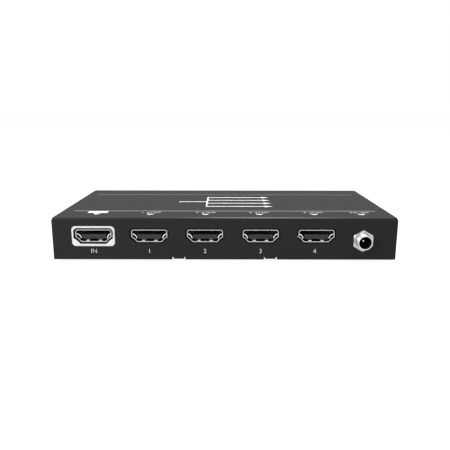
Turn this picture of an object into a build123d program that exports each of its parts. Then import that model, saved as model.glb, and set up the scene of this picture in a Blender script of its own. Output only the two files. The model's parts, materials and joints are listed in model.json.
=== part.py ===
from build123d import *
from math import cos, pi
import os

os.makedirs("parts", exist_ok=True)

# Case: a five-sided cover folded from black sheet, closed below by a flat base with four ears
case_length = 140.0
case_depth = 69.4
cover_height = 17.6
sheet = 0.8
bend_inside = 0.2
base_sheet = 1.0
base_gap = 0.3
base_bend_inside = 0.4

# Ledges: two tabs of the front flange, turned in under the base between relief notches
ledge_spacing = 37.6
ledge_width = 4.3
ledge_reach = 5.0
notch_width = 0.5

# Ears of the base and the countersunk screws that come in through the cover's ends
ear_spacing = 38.0
ear_width = 11.0
ear_height = 8.5
side_screw_height = 4.9
side_screw_diameter = 2.5
side_screw_head = 4.4
side_screw_head_height = 1.0
side_screw_past_ear = 0.9
side_screw_gap = 0.1
recess_length = 2.4
recess_width = 0.5
recess_depth = 0.6

# Rubber feet under the base
foot_diameter = 8.0
foot_height = 2.0
foot_inset = 12.0

# Board, its pillars and its screws
board_thickness = 1.6
board_ear_gap = 1.7
board_front_gap = 0.6
board_rear_gap = 1.5
board_corner_cut = 1.0
pillar_height = 3.9
pillar_flats = 5.0
pillar_end_inset = 4.5
pillar_front_inset = 17.0
pillar_rear_inset = 6.0
board_screw_diameter = 2.5
board_screw_head = 4.5
board_screw_head_height = 1.6
board_screw_length = 4.5
board_screw_gap = 0.15

# Sockets in a row, the input first: the opening's outline is wide above and tapers below
input_end_inset = 16.64
jack_spacing = 18.79
output_count = 4
socket_width = 14.0
socket_height = 4.55
shoulder_width = 12.5
shoulder_height = 1.4
side_start = 1.93
keel_width = 9.7
socket_corner = 0.7
socket_depth = 11.6
socket_setback = 0.4
shell_wall = 0.3
panel_gap = 0.6

# Grounding fingers cut out of the socket shell's top and bottom walls, and its side springs
finger_spacing = 5.0
finger_width = 1.3
finger_slit = 0.3
finger_start = 0.5
finger_length = 5.0
finger_hump_share = 0.13
finger_dip = 0.45
side_spring_start = 1.1
side_spring_length = 2.6
side_spring_radius = 1.8
side_spring_drop = 1.3

# Legs of the socket shell that go down through the board
leg_width = 1.6
leg_front = 3.5
leg_rear = 9.5
leg_below_board = 0.6
leg_gap = 0.2

# Tongue and contacts inside a socket
tongue_width = 9.8
tongue_thickness = 1.9
tongue_setback = 0.5
tongue_drop = 0.55
tongue_round = 0.4
core_length = 3.2
core_gap = 0.05
contact_pitch = 1.0
contact_width = 0.4
contact_sheet = 0.15
contact_gap = 0.05
contact_setback = 0.5
tail_reach = 0.9
tail_foot = 0.8
top_contact_count = 10
bottom_contact_count = 9

# Power jack: a threaded barrel held to the front flange by a hexagon nut
jack_end_inset = 13.85
jack_above_board = 0.85
barrel_diameter = 6.0
barrel_bore = 5.0
barrel_flange_diameter = 7.4
barrel_flange = 0.8
barrel_gap = 0.15
nut_flats = 7.8
nut_height = 1.2
nut_chamfer_drop = 0.35
thread_beyond_nut = 3.0
jack_width = 9.0
jack_height = 8.4
jack_length = 11.0
jack_cavity_length = 8.6
jack_notch_gap = 0.3
wing_width = 1.6
wing_thickness = 1.0
wing_length = 7.0
jack_pin_diameter = 1.65
jack_pin_tip = 3.1
jack_pin_chamfer = 0.4
jack_pin_tail_diameter = 1.0
jack_pin_tail = 1.5
jack_fit = 0.05
spring_leaf = 0.3
spring_leaf_width = 2.0
spring_leaf_length = 6.4
spring_leaf_bend = 0.5
terminal_width = 1.2
terminal_thickness = 0.5
terminal_below_board = 1.0
terminal_gap = 0.2

# Splitter circuit: places are shares of the board's length and depth, from its middle
circuit_row_share = 0.09
splitter_chip_size = 14.0
splitter_chip_height = 1.2
pad_size = 12.5
pad_height = 0.5
sink_size = 22.0
sink_height = 6.0
sink_base = 1.4
fin_thickness = 0.9
fin_count = 8
controller_size = 7.0
controller_height = 1.0
controller_across_share = -0.24
memory_length = 5.0
memory_width = 4.0
memory_height = 1.5
memory_across_share = -0.33
crystal_length = 10.0
crystal_width = 3.8
crystal_height = 3.4
crystal_across_share = -0.24
crystal_row_share = -0.09
inductor_size = 6.0
inductor_height = 3.0
inductor_corner_cut = 1.0
inductor_pitch = 9.0
inductor_across_share = 0.35
regulator_length = 6.5
regulator_width = 3.5
regulator_height = 1.6
regulator_across_share = 0.24
capacitor_diameter = 5.0
capacitor_height = 5.4
capacitor_base = 5.3
capacitor_base_height = 0.8
capacitor_base_cut = 1.0
capacitor_pitch = 8.0
capacitor_count = 3
capacitor_across_share = 0.29
capacitor_row_share = -0.11
protector_length = 2.5
protector_width = 1.0
protector_height = 0.6
protector_spacing = 4.0
protector_behind_socket = 3.0

# Status lamps behind light pipes in the rear flange
lamp_count = 6
lamp_pitch = 9.0
lamp_end_inset = 25.0
lamp_width = 3.0
lamp_depth = 1.8
lamp_height = 2.8
pipe_width = 2.8
pipe_height = 1.4
pipe_gap = 0.1
pipe_proud = 0.3
pipe_lamp_gap = 0.2

# Slide switch that picks the display data, with its knob in a slot of the rear flange
switch_end_inset = 30.0
slide_step = 2.0
slide_gap = 0.3
switch_wall = 0.7
carriage_length = 5.0
carriage_height = 2.4
carriage_depth = 2.4
knob_width = 2.0
knob_height = 1.6
knob_proud = 0.8
knob_chamfer = 0.2

# One overrun that every cut takes past the face it opens
overrun = 0.4

# Levels and places that follow from the sizes above
bend_outside = bend_inside + sheet
base_bend_outside = base_bend_inside + base_sheet
side_screw_length = sheet + base_gap + base_sheet + side_screw_past_ear
jack_proud = nut_height + thread_beyond_nut
body_centre = (jack_proud - knob_proud) / 2
front_face = body_centre - case_depth / 2
rear_face = body_centre + case_depth / 2
front_inside = front_face + sheet
rear_inside = rear_face - sheet
cover_bottom = foot_height - sheet
base_underside = cover_bottom + sheet
base_top = base_underside + base_sheet
base_length = case_length - 2 * (sheet + base_gap)
base_depth = case_depth - 2 * (sheet + base_gap)
board_underside = base_top + pillar_height
board_top = board_underside + board_thickness
board_length = base_length - 2 * (base_sheet + board_ear_gap)
board_front = front_inside + board_front_gap
board_rear = rear_inside - board_rear_gap
board_middle = (board_front + board_rear) / 2
port_centre = board_top + shell_wall + socket_height / 2
rim_face = front_face + socket_setback
socket_rear = rim_face + socket_depth
jack_axis = board_top + jack_above_board
jack_place = case_length / 2 - jack_end_inset
input_place = input_end_inset - case_length / 2
port_pitch = (jack_place - jack_spacing - input_place) / output_count
port_places = [input_place + index * port_pitch for index in range(output_count + 1)]
port_names = ["input_socket"] + [f"output_{number + 1}_socket" for number in range(output_count)]


def facing_front(distance):
    """An upright plane at this place in depth, looking out of the front, with X right and Z up."""
    return Plane.XZ.offset(-distance)


def beside(distance):
    """An upright plane at this place along the case, seen from its right end."""
    return Plane.YZ.offset(distance)


def folded_channel(width, height):
    """The section of a sheet bent down at both sides, standing on the origin."""
    with BuildSketch() as section:
        with BuildLine():
            outside = FilletPolyline(
                (-width / 2, 0),
                (-width / 2, height),
                (width / 2, height),
                (width / 2, 0),
                radius=bend_outside,
            )
            inside = FilletPolyline(
                (-width / 2 + sheet, 0),
                (-width / 2 + sheet, height - sheet),
                (width / 2 - sheet, height - sheet),
                (width / 2 - sheet, 0),
                radius=bend_inside,
            )
            Line(outside @ 0, inside @ 0)
            Line(outside @ 1, inside @ 1)
        make_face()
    return section.sketch


def turned_edge(flange, reach, thickness, inner_radius):
    """The section of a bend: down a flange's outer face to the corner at the origin, then along X."""
    outer_radius = inner_radius + thickness
    with BuildSketch() as section:
        with BuildLine():
            outside = FilletPolyline((0, flange), (0, 0), (reach, 0), radius=outer_radius)
            inside = FilletPolyline(
                (thickness, flange), (thickness, thickness), (reach, thickness), radius=inner_radius
            )
            Line(outside @ 0, inside @ 0)
            Line(outside @ 1, inside @ 1)
        make_face()
    return section.sketch


def socket_outline(grow):
    """The socket's opening, centred on its height, grown by a wall or a gap or drawn in by one."""
    floor = -socket_height / 2
    with BuildSketch() as outline:
        with BuildLine():
            Polyline(
                (0, floor),
                (keel_width / 2, floor),
                (shoulder_width / 2, floor + shoulder_height),
                (socket_width / 2, floor + side_start),
                (socket_width / 2, -floor),
                (0, -floor),
            )
            mirror(about=Plane.YZ)
        make_face()
        fillet(outline.vertices().group_by(Axis.Y)[-1], socket_corner)
        if grow:
            offset(amount=grow, kind=Kind.INTERSECTION)
    return outline.sketch


def leg_places_of(port_place, side):
    """Where the two legs on one side of a socket's shell go through the board."""
    across = port_place + side * (socket_width + shell_wall) / 2
    return [(across, rim_face + leg_front), (across, rim_face + leg_rear)]


def side_screw_section(grow):
    """Half the screw's section along X from its flat head, with X its axis, grown for the hole."""
    head_radius = side_screw_head / 2 + grow
    shank_radius = side_screw_diameter / 2 + grow
    with BuildSketch() as section:
        with BuildLine():
            Polyline(
                (0, 0),
                (0, head_radius),
                (side_screw_head_height, shank_radius),
                (side_screw_length, shank_radius),
                (side_screw_length, 0),
                close=True,
            )
        make_face()
    return section.sketch


# Places shared by pieces that meet
socket_opening = socket_outline(0)
socket_outside = socket_outline(shell_wall)
socket_hole = socket_outline(shell_wall + panel_gap)
socket_core_outline = socket_outline(-core_gap)
screw_level = base_underside + side_screw_height
side_screw_planes = [
    Plane(
        origin=(side * case_length / 2, body_centre + row * ear_spacing / 2, screw_level), x_dir=(-side, 0, 0)
    )
    for side in (-1, 1)
    for row in (-1, 1)
]
pillar_across = board_length / 2 - pillar_end_inset
pillar_places = [
    (side * pillar_across, depth)
    for side in (-1, 1)
    for depth in (board_front + pillar_front_inset, board_rear - pillar_rear_inset)
]
lamp_places = [lamp_end_inset - case_length / 2 + index * lamp_pitch for index in range(lamp_count)]
lamp_level = board_top + lamp_height / 2
switch_place = case_length / 2 - switch_end_inset
housing_length = carriage_length + 2 * (slide_step + slide_gap + switch_wall)
housing_depth = carriage_depth + 2 * (slide_gap + switch_wall)
housing_height = carriage_height + 2 * (slide_gap + switch_wall)
switch_level = board_top + housing_height / 2
switch_middle = board_rear - housing_depth / 2
slot_length = knob_width + 2 * (slide_step + slide_gap)
slot_height = knob_height + 2 * slide_gap

# Cover: top, four flanges, port holes, lamp holes, switch slot, screw holes and front ledges
with BuildPart() as top_cover:
    with BuildSketch(Plane(origin=(0, body_centre, cover_bottom), x_dir=(0, 1, 0), z_dir=(1, 0, 0))):
        add(folded_channel(case_depth, cover_height))
    extrude(amount=case_length / 2 - bend_outside, both=True)
    with BuildSketch(Plane(origin=(0, body_centre, cover_bottom), x_dir=(1, 0, 0), z_dir=(0, -1, 0))):
        add(folded_channel(case_length, cover_height))
    extrude(amount=case_depth / 2 - bend_outside, both=True)
    with BuildSketch(Plane.XY.offset(cover_bottom)):
        with Locations((0, front_face + sheet / 2), (0, rear_face - sheet / 2)):
            Rectangle(case_length, sheet)
    extrude(amount=cover_height - bend_outside)

    with BuildSketch(facing_front(front_face)):
        with Locations(*[(place, port_centre) for place in port_places]):
            add(socket_hole)
        with Locations((jack_place, jack_axis)):
            Circle(barrel_diameter / 2 + barrel_gap)
    extrude(amount=-(sheet + overrun), mode=Mode.SUBTRACT)

    with BuildSketch(facing_front(rear_face)):
        with Locations(*[(place, lamp_level) for place in lamp_places]):
            Rectangle(pipe_width + 2 * pipe_gap, pipe_height + 2 * pipe_gap)
        with Locations((switch_place, switch_level)):
            Rectangle(slot_length, slot_height)
    extrude(amount=sheet + overrun, mode=Mode.SUBTRACT)

    for screw_plane in side_screw_planes:
        with BuildSketch(screw_plane):
            add(side_screw_section(side_screw_gap))
        revolve(axis=Axis(screw_plane.origin, screw_plane.x_dir), mode=Mode.SUBTRACT)

    with BuildSketch(facing_front(front_face)):
        with Locations(*[(side * ledge_spacing / 2, cover_bottom) for side in (-1, 1)]):
            Rectangle(ledge_width + 2 * notch_width, 2 * bend_outside)
    extrude(amount=-(sheet + overrun), mode=Mode.SUBTRACT)
    for side in (-1, 1):
        with BuildSketch(
            Plane(
                origin=(side * ledge_spacing / 2, front_face, cover_bottom), x_dir=(0, 1, 0), z_dir=(1, 0, 0)
            )
        ):
            add(turned_edge(bend_outside + overrun, ledge_reach, sheet, bend_inside))
        extrude(amount=ledge_width / 2, both=True)
top_cover.part.label = "top_cover"
export_step(top_cover.part, "parts/top_cover.step")

# Base: a flat sheet on the ledges, with an ear turned up at each end of both sides
with BuildPart() as bottom_plate:
    with BuildSketch(Plane.XY.offset(base_underside)):
        with Locations((0, body_centre)):
            Rectangle(base_length, base_depth)
            with GridLocations(base_length, ear_spacing, 2, 2):
                Rectangle(2 * base_bend_outside, ear_width + 2 * notch_width, mode=Mode.SUBTRACT)
    extrude(amount=base_sheet)
    for side in (-1, 1):
        for row in (-1, 1):
            with BuildSketch(
                Plane(
                    origin=(side * base_length / 2, body_centre + row * ear_spacing / 2, base_underside),
                    x_dir=(-side, 0, 0),
                    z_dir=(0, side, 0),
                )
            ):
                add(turned_edge(ear_height, base_bend_outside + overrun, base_sheet, base_bend_inside))
            extrude(amount=ear_width / 2, both=True)
    for screw_plane in side_screw_planes:
        with BuildSketch(screw_plane):
            add(side_screw_section(side_screw_gap))
        revolve(axis=Axis(screw_plane.origin, screw_plane.x_dir), mode=Mode.SUBTRACT)
bottom_plate.part.label = "bottom_plate"
export_step(bottom_plate.part, "parts/bottom_plate.step")

# Countersunk screws in the cover's ends, with a cross recess
with BuildPart() as cover_screws:
    for screw_plane in side_screw_planes:
        with BuildSketch(screw_plane):
            add(side_screw_section(0))
        revolve(axis=Axis(screw_plane.origin, screw_plane.x_dir))
        with BuildSketch(Plane(origin=screw_plane.origin, x_dir=(0, 1, 0), z_dir=screw_plane.x_dir)):
            Rectangle(recess_length, recess_width)
            Rectangle(recess_width, recess_length)
        extrude(amount=recess_depth, mode=Mode.SUBTRACT)
cover_screws.part.label = "cover_screws"
export_step(cover_screws.part, "parts/cover_screws.step")

# Feet: round rubber pads near the corners
with BuildPart() as rubber_feet:
    with BuildSketch():
        with Locations((0, body_centre)):
            with GridLocations(case_length - 2 * foot_inset, case_depth - 2 * foot_inset, 2, 2):
                Circle(foot_diameter / 2)
    extrude(amount=base_underside)
rubber_feet.part.label = "rubber_feet"
export_step(rubber_feet.part, "parts/rubber_feet.step")

# Hexagonal pillars that carry the board above the base
with BuildPart() as board_pillars:
    with BuildSketch(Plane.XY.offset(base_top)):
        with Locations(*pillar_places):
            RegularPolygon(pillar_flats / 2, 6, major_radius=False)
            Circle(board_screw_diameter / 2 + board_screw_gap, mode=Mode.SUBTRACT)
    extrude(amount=pillar_height)
board_pillars.part.label = "board_pillars"
export_step(board_pillars.part, "parts/board_pillars.step")

# Board: notched for the power jack, with holes for screws, shell legs and jack terminals
jack_notch_width = jack_width + 2 * jack_notch_gap
jack_notch_end = front_inside + jack_length + jack_notch_gap
wing_middle = front_inside + jack_length - wing_length / 2
terminal_across = jack_width / 2 + wing_width / 2
terminal_places = [
    (jack_place - terminal_across, wing_middle),
    (jack_place + terminal_across, wing_middle),
]
leg_places = [
    place for port_place in port_places for side in (-1, 1) for place in leg_places_of(port_place, side)
]
with BuildPart() as main_board:
    with BuildSketch(Plane.XY.offset(board_underside)) as board_outline:
        with Locations((0, board_middle)):
            Rectangle(board_length, board_rear - board_front)
        chamfer(board_outline.vertices(), board_corner_cut)
        with Locations((jack_place, board_front)):
            Rectangle(jack_notch_width, 2 * (jack_notch_end - board_front), mode=Mode.SUBTRACT)
        with Locations(*pillar_places):
            Circle(board_screw_diameter / 2 + board_screw_gap, mode=Mode.SUBTRACT)
        with Locations(*leg_places):
            Rectangle(shell_wall + 2 * leg_gap, leg_width + 2 * leg_gap, mode=Mode.SUBTRACT)
        with Locations(*terminal_places):
            Rectangle(
                terminal_thickness + 2 * terminal_gap, terminal_width + 2 * terminal_gap, mode=Mode.SUBTRACT
            )
    extrude(amount=board_thickness)
main_board.part.label = "main_board"
export_step(main_board.part, "parts/main_board.step")

# Pan-head screws that hold the board down on its pillars
with BuildPart() as board_screws:
    with BuildSketch(Plane.XY.offset(board_top)):
        with Locations(*pillar_places):
            Circle(board_screw_head / 2)
    extrude(amount=board_screw_head_height)
    with BuildSketch(Plane.XY.offset(board_top)):
        with Locations(*pillar_places):
            Circle(board_screw_diameter / 2)
    extrude(amount=-board_screw_length)
    with BuildSketch(Plane.XY.offset(board_top + board_screw_head_height)):
        with Locations(*pillar_places):
            Rectangle(recess_length, recess_width)
            Rectangle(recess_width, recess_length)
    extrude(amount=-recess_depth, mode=Mode.SUBTRACT)
board_screws.part.label = "board_screws"
export_step(board_screws.part, "parts/board_screws.step")


def finger_section(wall_face, inward):
    """A grounding finger from the side: rooted in the wall's outer face, dipping in, its tip back out."""
    root = rim_face + finger_start + finger_length
    hump = rim_face + finger_start + finger_hump_share * finger_length
    tip = rim_face + finger_start + finger_slit
    dip = wall_face + inward * finger_dip
    inner = inward * shell_wall
    with BuildSketch() as section:
        with BuildLine():
            Polyline(
                (root, wall_face),
                (hump, dip),
                (tip, wall_face),
                (tip, wall_face + inner),
                (hump, dip + inner),
                (root, wall_face + inner),
                close=True,
            )
        make_face()
    return section.sketch


def side_spring_section(side):
    """A side spring from the front: a quarter ring that leaves the wall and curls down beside the tongue."""
    wall_middle = (socket_width + shell_wall) / 2
    with BuildSketch() as section:
        with Locations((side * wall_middle, -side_spring_drop)):
            Circle(side_spring_radius + shell_wall / 2)
            Circle(side_spring_radius - shell_wall / 2, mode=Mode.SUBTRACT)
            Rectangle(
                2 * side_spring_radius,
                2 * side_spring_radius,
                align=(Align.MAX if side > 0 else Align.MIN, Align.MIN),
                mode=Mode.INTERSECT,
            )
    return section.sketch


def contact_section(surface, outward, tip, rear):
    """One contact from the side: along a tongue face, out of the back, down and along the board."""
    outer = surface + outward * contact_sheet
    low, high = sorted((surface, outer))
    drop_front = rear + tail_reach - contact_sheet
    drop_rear = rear + tail_reach
    with BuildSketch() as section:
        with BuildLine():
            Polyline(
                (tip, low),
                (tip, high),
                (drop_rear, high),
                (drop_rear, board_top + contact_sheet),
                (drop_rear + tail_foot, board_top + contact_sheet),
                (drop_rear + tail_foot, board_top),
                (drop_front, board_top),
                (drop_front, low),
                close=True,
            )
        make_face()
    return section.sketch


# Sockets: a bent shell with fingers, side springs and legs, a moulded core, and two rows of contacts
tongue_middle = port_centre - tongue_drop
tongue_top = tongue_middle + tongue_thickness / 2
tongue_bottom = tongue_middle - tongue_thickness / 2
tongue_tip = rim_face + tongue_setback
core_face = socket_rear - core_length
contact_tip = tongue_tip + contact_setback
side_foot_level = port_centre - socket_height / 2 + side_start
contact_rows = [
    (tongue_top, 1, top_contact_count),
    (tongue_bottom, -1, bottom_contact_count),
]
for port_name, port_place in zip(port_names, port_places):
    with BuildPart() as socket_shell:
        with BuildSketch(facing_front(rim_face)):
            with Locations((port_place, port_centre)):
                add(socket_outside)
                add(socket_opening, mode=Mode.SUBTRACT)
        extrude(amount=-socket_depth)
        with BuildSketch(Plane.XY.offset(port_centre - socket_height / 2 - shell_wall - overrun)):
            with Locations((port_place, rim_face + finger_start + finger_length / 2)):
                with GridLocations(finger_spacing, finger_length, 2, 1):
                    Rectangle(finger_width + 2 * finger_slit, finger_length)
        extrude(amount=socket_height + 2 * (shell_wall + overrun), mode=Mode.SUBTRACT)
        for side in (-1, 1):
            for wall_face, inward in (
                (port_centre + socket_height / 2 + shell_wall, -1),
                (port_centre - socket_height / 2 - shell_wall, 1),
            ):
                with BuildSketch(beside(port_place + side * finger_spacing / 2)):
                    add(finger_section(wall_face, inward))
                extrude(amount=finger_width / 2, both=True)
            with BuildSketch(facing_front(rim_face + side_spring_start)):
                with Locations((port_place, port_centre)):
                    add(side_spring_section(side))
            extrude(amount=-side_spring_length)
            with BuildSketch(Plane.XY.offset(board_underside - leg_below_board)):
                with Locations(*leg_places_of(port_place, side)):
                    Rectangle(shell_wall, leg_width)
            extrude(amount=side_foot_level + leg_width / 2 - board_underside + leg_below_board)
    socket_shell.part.label = f"{port_name}_shell"
    export_step(socket_shell.part, f"parts/{port_name}_shell.step")

    with BuildPart() as socket_core:
        with BuildSketch(facing_front(core_face)):
            with Locations((port_place, port_centre)):
                add(socket_core_outline)
        extrude(amount=-core_length)
        with BuildSketch(facing_front(tongue_tip)):
            with Locations((port_place, tongue_middle)):
                Rectangle(tongue_width, tongue_thickness)
        extrude(amount=-(core_face - tongue_tip))
        tip_edges = socket_core.faces().sort_by(Axis.Y)[0].edges()
        chamfer(tip_edges.filter_by(Axis.X), tongue_round)
        for surface, outward, count in contact_rows:
            slot_width = (count - 1) * contact_pitch + contact_width + 2 * contact_gap
            with BuildSketch(facing_front(core_face)):
                with Locations((port_place, surface + outward * (contact_sheet + contact_gap) / 2)):
                    Rectangle(slot_width, contact_sheet + contact_gap)
            extrude(amount=-core_length, mode=Mode.SUBTRACT)
    socket_core.part.label = f"{port_name}_core"
    export_step(socket_core.part, f"parts/{port_name}_core.step")

    with BuildPart() as socket_contacts:
        for surface, outward, count in contact_rows:
            for index in range(count):
                across = port_place + (index - (count - 1) / 2) * contact_pitch
                with BuildSketch(beside(across)):
                    add(contact_section(surface, outward, contact_tip, socket_rear))
                extrude(amount=contact_width / 2, both=True)
    socket_contacts.part.label = f"{port_name}_contacts"
    export_step(socket_contacts.part, f"parts/{port_name}_contacts.step")

# Jack body: a moulded block with a bore, set in the board's notch and resting on two wings
with BuildPart() as jack_body:
    with BuildSketch(facing_front(front_inside)):
        with Locations((jack_place, jack_axis)):
            Rectangle(jack_width, jack_height)
    extrude(amount=-jack_length)
    with BuildSketch(Plane.XY.offset(board_top)):
        with Locations((jack_place, wing_middle)):
            Rectangle(jack_width + 2 * wing_width, wing_length)
    extrude(amount=wing_thickness)
    with BuildSketch(facing_front(front_inside)):
        with Locations((jack_place, jack_axis)):
            Circle(barrel_flange_diameter / 2 + jack_fit)
    extrude(amount=-(barrel_flange + jack_fit), mode=Mode.SUBTRACT)
    with BuildSketch(facing_front(front_inside)):
        with Locations((jack_place, jack_axis)):
            Circle(barrel_bore / 2)
    extrude(amount=-jack_cavity_length, mode=Mode.SUBTRACT)
    with BuildSketch(facing_front(front_inside + jack_cavity_length)):
        with Locations((jack_place, jack_axis)):
            Circle(jack_pin_tail_diameter / 2 + jack_fit)
    extrude(amount=-(jack_length - jack_cavity_length), mode=Mode.SUBTRACT)
    with BuildSketch(facing_front(front_inside + jack_cavity_length - spring_leaf_length)):
        with Locations((jack_place, jack_axis + barrel_bore / 2)):
            Rectangle(spring_leaf_width + 2 * jack_fit, 2 * (spring_leaf + jack_fit))
    extrude(amount=-spring_leaf_length, mode=Mode.SUBTRACT)
jack_body.part.label = "dc_jack_body"
export_step(jack_body.part, "parts/dc_jack_body.step")

# Jack barrel: a sleeve whose flange is held between the front flange and the body
rim_end = front_face - jack_proud
with BuildPart() as jack_barrel:
    with BuildSketch(facing_front(rim_end)):
        with Locations((jack_place, jack_axis)):
            Circle(barrel_diameter / 2)
    extrude(amount=-(front_inside + barrel_flange - rim_end))
    with BuildSketch(facing_front(front_inside)):
        with Locations((jack_place, jack_axis)):
            Circle(barrel_flange_diameter / 2)
    extrude(amount=-barrel_flange)
    with BuildSketch(facing_front(rim_end)):
        with Locations((jack_place, jack_axis)):
            Circle(barrel_bore / 2)
    extrude(amount=-(front_inside + barrel_flange - rim_end), mode=Mode.SUBTRACT)
jack_barrel.part.label = "dc_jack_barrel"
export_step(jack_barrel.part, "parts/dc_jack_barrel.step")

# Hexagon nut: points up and down, its corners turned off on the outer face
nut_corner_radius = nut_flats / 2 / cos(pi / 6)
with BuildPart() as jack_nut:
    with BuildSketch(facing_front(front_face)):
        with Locations((jack_place, jack_axis)):
            RegularPolygon(nut_flats / 2, 6, major_radius=False, rotation=90)
            Circle(barrel_diameter / 2 + jack_fit, mode=Mode.SUBTRACT)
    extrude(amount=nut_height)
    with BuildSketch(
        Plane(origin=(jack_place, front_face, jack_axis), x_dir=(1, 0, 0), z_dir=(0, 0, 1))
    ):
        with BuildLine():
            Polyline(
                (0, 0),
                (nut_corner_radius, 0),
                (nut_corner_radius, -(nut_height - nut_chamfer_drop)),
                (nut_flats / 2, -nut_height),
                (0, -nut_height),
                close=True,
            )
        make_face()
    revolve(axis=Axis((jack_place, front_face, jack_axis), (0, 1, 0)), mode=Mode.INTERSECT)
jack_nut.part.label = "dc_jack_nut"
export_step(jack_nut.part, "parts/dc_jack_nut.step")

# Centre pin: a chamfered post on the cavity's back wall, with its tail through the wall
pin_tip_place = rim_end + jack_pin_tip
pin_root = front_inside + jack_cavity_length
with BuildPart() as jack_pin:
    with BuildSketch(facing_front(pin_tip_place)):
        with Locations((jack_place, jack_axis)):
            Circle(jack_pin_diameter / 2)
    extrude(amount=-(pin_root - pin_tip_place))
    chamfer(jack_pin.edges().group_by(Axis.Y)[0], jack_pin_chamfer)
    with BuildSketch(facing_front(pin_root)):
        with Locations((jack_place, jack_axis)):
            Circle(jack_pin_tail_diameter / 2)
    extrude(amount=-(jack_length - jack_cavity_length + jack_pin_tail))
jack_pin.part.label = "dc_jack_pin"
export_step(jack_pin.part, "parts/dc_jack_pin.step")

# Contact leaf in its slot above the bore, bowed towards the plug
leaf_seat = jack_axis + barrel_bore / 2 + spring_leaf
leaf_front = front_inside + jack_cavity_length - spring_leaf_length + jack_fit
leaf_rear = front_inside + jack_cavity_length - jack_fit
with BuildPart() as jack_spring:
    with BuildSketch(beside(jack_place)):
        with BuildLine():
            upper = ThreePointArc(
                (leaf_front, leaf_seat),
                ((leaf_front + leaf_rear) / 2, leaf_seat - spring_leaf_bend),
                (leaf_rear, leaf_seat),
            )
            lower = ThreePointArc(
                (leaf_front, leaf_seat - spring_leaf),
                ((leaf_front + leaf_rear) / 2, leaf_seat - spring_leaf_bend - spring_leaf),
                (leaf_rear, leaf_seat - spring_leaf),
            )
            Line(upper @ 0, lower @ 0)
            Line(upper @ 1, lower @ 1)
        make_face()
    extrude(amount=spring_leaf_width / 2, both=True)
jack_spring.part.label = "dc_jack_spring"
export_step(jack_spring.part, "parts/dc_jack_spring.step")

# Terminals under the wings, through the board
with BuildPart() as jack_terminals:
    with BuildSketch(Plane.XY.offset(board_underside - terminal_below_board)):
        with Locations(*terminal_places):
            Rectangle(terminal_thickness, terminal_width)
    extrude(amount=board_thickness + terminal_below_board)
jack_terminals.part.label = "dc_jack_terminals"
export_step(jack_terminals.part, "parts/dc_jack_terminals.step")

# Splitter chip with its thermal pad and finned heat sink, in the middle of the board
chip_top = board_top + splitter_chip_height
with BuildPart() as splitter_chip:
    with BuildSketch(Plane.XY.offset(board_top)):
        with Locations((0, board_middle)):
            Rectangle(splitter_chip_size, splitter_chip_size)
    extrude(amount=splitter_chip_height)
splitter_chip.part.label = "splitter_chip"
export_step(splitter_chip.part, "parts/splitter_chip.step")

with BuildPart() as thermal_pad:
    with BuildSketch(Plane.XY.offset(chip_top)):
        with Locations((0, board_middle)):
            Rectangle(pad_size, pad_size)
    extrude(amount=pad_height)
thermal_pad.part.label = "thermal_pad"
export_step(thermal_pad.part, "parts/thermal_pad.step")

fin_pitch = (sink_size - fin_thickness) / (fin_count - 1)
with BuildPart() as heat_sink:
    with BuildSketch(Plane.XY.offset(chip_top + pad_height)):
        with Locations((0, board_middle)):
            Rectangle(sink_size, sink_size)
    extrude(amount=sink_base)
    with BuildSketch(Plane.XY.offset(chip_top + pad_height + sink_base)):
        with Locations((0, board_middle)):
            with GridLocations(fin_pitch, sink_size, fin_count, 1):
                Rectangle(fin_thickness, sink_size)
    extrude(amount=sink_height - sink_base)
heat_sink.part.label = "heat_sink"
export_step(heat_sink.part, "parts/heat_sink.step")


def on_board(across_share, behind_share):
    """A spot on the board's top, as shares of its length and depth from its middle."""
    return (across_share * board_length, board_middle + behind_share * (board_rear - board_front))


with BuildPart() as microcontroller:
    with BuildSketch(Plane.XY.offset(board_top)):
        with Locations(on_board(controller_across_share, circuit_row_share)):
            Rectangle(controller_size, controller_size)
    extrude(amount=controller_height)
microcontroller.part.label = "microcontroller"
export_step(microcontroller.part, "parts/microcontroller.step")

with BuildPart() as display_data_memory:
    with BuildSketch(Plane.XY.offset(board_top)):
        with Locations(on_board(memory_across_share, circuit_row_share)):
            Rectangle(memory_width, memory_length)
    extrude(amount=memory_height)
display_data_memory.part.label = "display_data_memory"
export_step(display_data_memory.part, "parts/display_data_memory.step")

with BuildPart() as crystal:
    with BuildSketch(Plane.XY.offset(board_top)):
        with Locations(on_board(crystal_across_share, crystal_row_share)):
            SlotOverall(crystal_length, crystal_width)
    extrude(amount=crystal_height)
crystal.part.label = "crystal"
export_step(crystal.part, "parts/crystal.step")

with BuildPart() as power_inductors:
    with BuildSketch(Plane.XY.offset(board_top)) as inductor_outlines:
        with Locations(on_board(inductor_across_share, circuit_row_share)):
            with GridLocations(inductor_pitch, inductor_pitch, 1, 2):
                Rectangle(inductor_size, inductor_size)
        chamfer(inductor_outlines.vertices(), inductor_corner_cut)
    extrude(amount=inductor_height)
power_inductors.part.label = "power_inductors"
export_step(power_inductors.part, "parts/power_inductors.step")

with BuildPart() as voltage_regulator:
    with BuildSketch(Plane.XY.offset(board_top)):
        with Locations(on_board(regulator_across_share, circuit_row_share)):
            Rectangle(regulator_width, regulator_length)
    extrude(amount=regulator_height)
voltage_regulator.part.label = "voltage_regulator"
export_step(voltage_regulator.part, "parts/voltage_regulator.step")

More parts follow.
